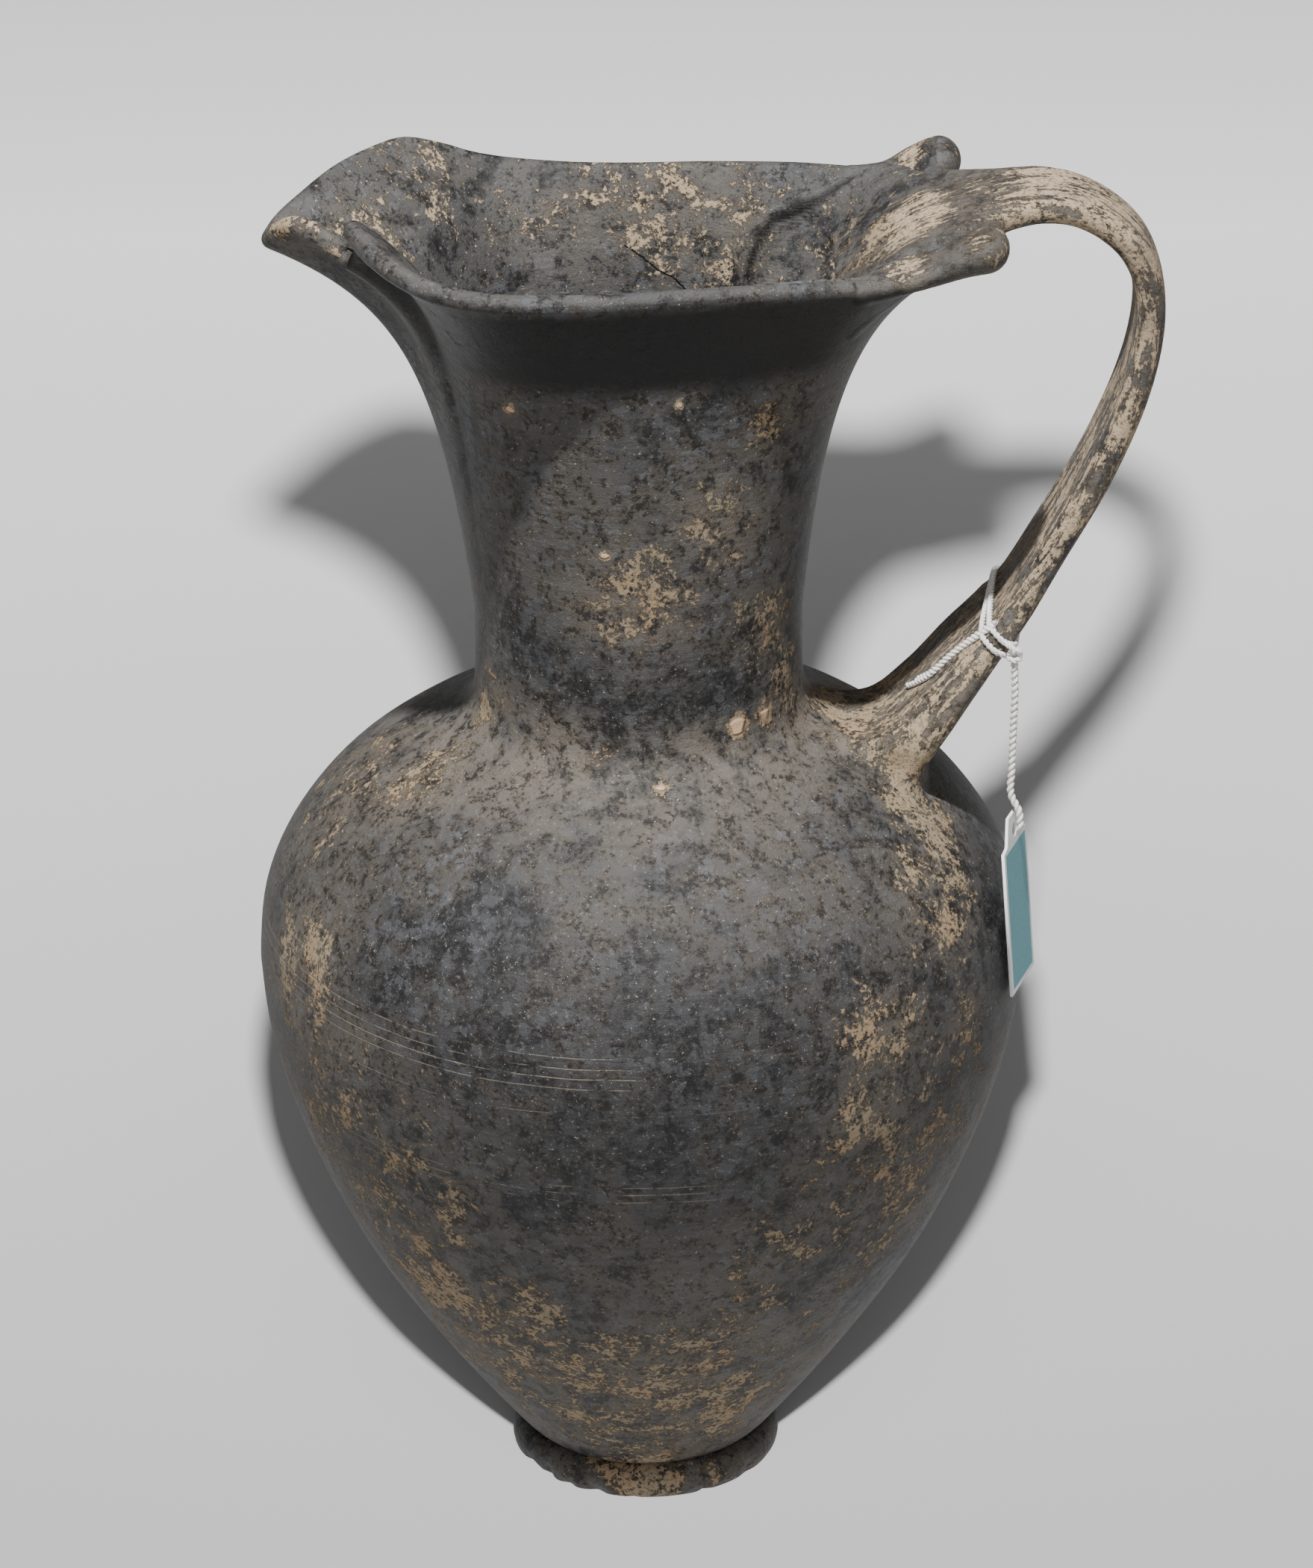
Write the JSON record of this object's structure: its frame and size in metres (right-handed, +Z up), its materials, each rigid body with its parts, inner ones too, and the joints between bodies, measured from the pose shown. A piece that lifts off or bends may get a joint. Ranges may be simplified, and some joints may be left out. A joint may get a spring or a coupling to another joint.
{
  "type": "oinochoe jug",
  "caption": "Dark burnished clay wine jug with a ring foot, full belly, short neck, beaked mouth pinched on one side, high strap handle between two lappets, and a small strung card tag.",
  "frame": {"origin": "centre of the footprint, on the plane that the foot stands on", "axes": "+Z up, +X towards the handle, -X towards the beak of the mouth"},
  "size_m": [0.223, 0.1908, 0.3457],
  "materials": {
    "clay_foot": "worn burnished black clay with sandy crust",
    "clay_body": "burnished black clay, satin, mottled",
    "clay_neck": "burnished black clay, satin",
    "clay_handle": "black clay with sandy crust",
    "tag_thread": "white twisted cotton string",
    "tag_card": "white card with a teal panel, bare of text"
  },
  "bodies": {
    "root": {"foot_ring": "clay_foot", "belly": "clay_body", "shoulder": "clay_body", "neck": "clay_neck", "mouth": "clay_neck", "handle_strap": "clay_handle", "lappet_far": "clay_handle", "lappet_near": "clay_handle", "tag_hitch": "tag_thread", "tag_string": "tag_thread", "tag_card": "tag_card"}
  },
  "joints": []
}
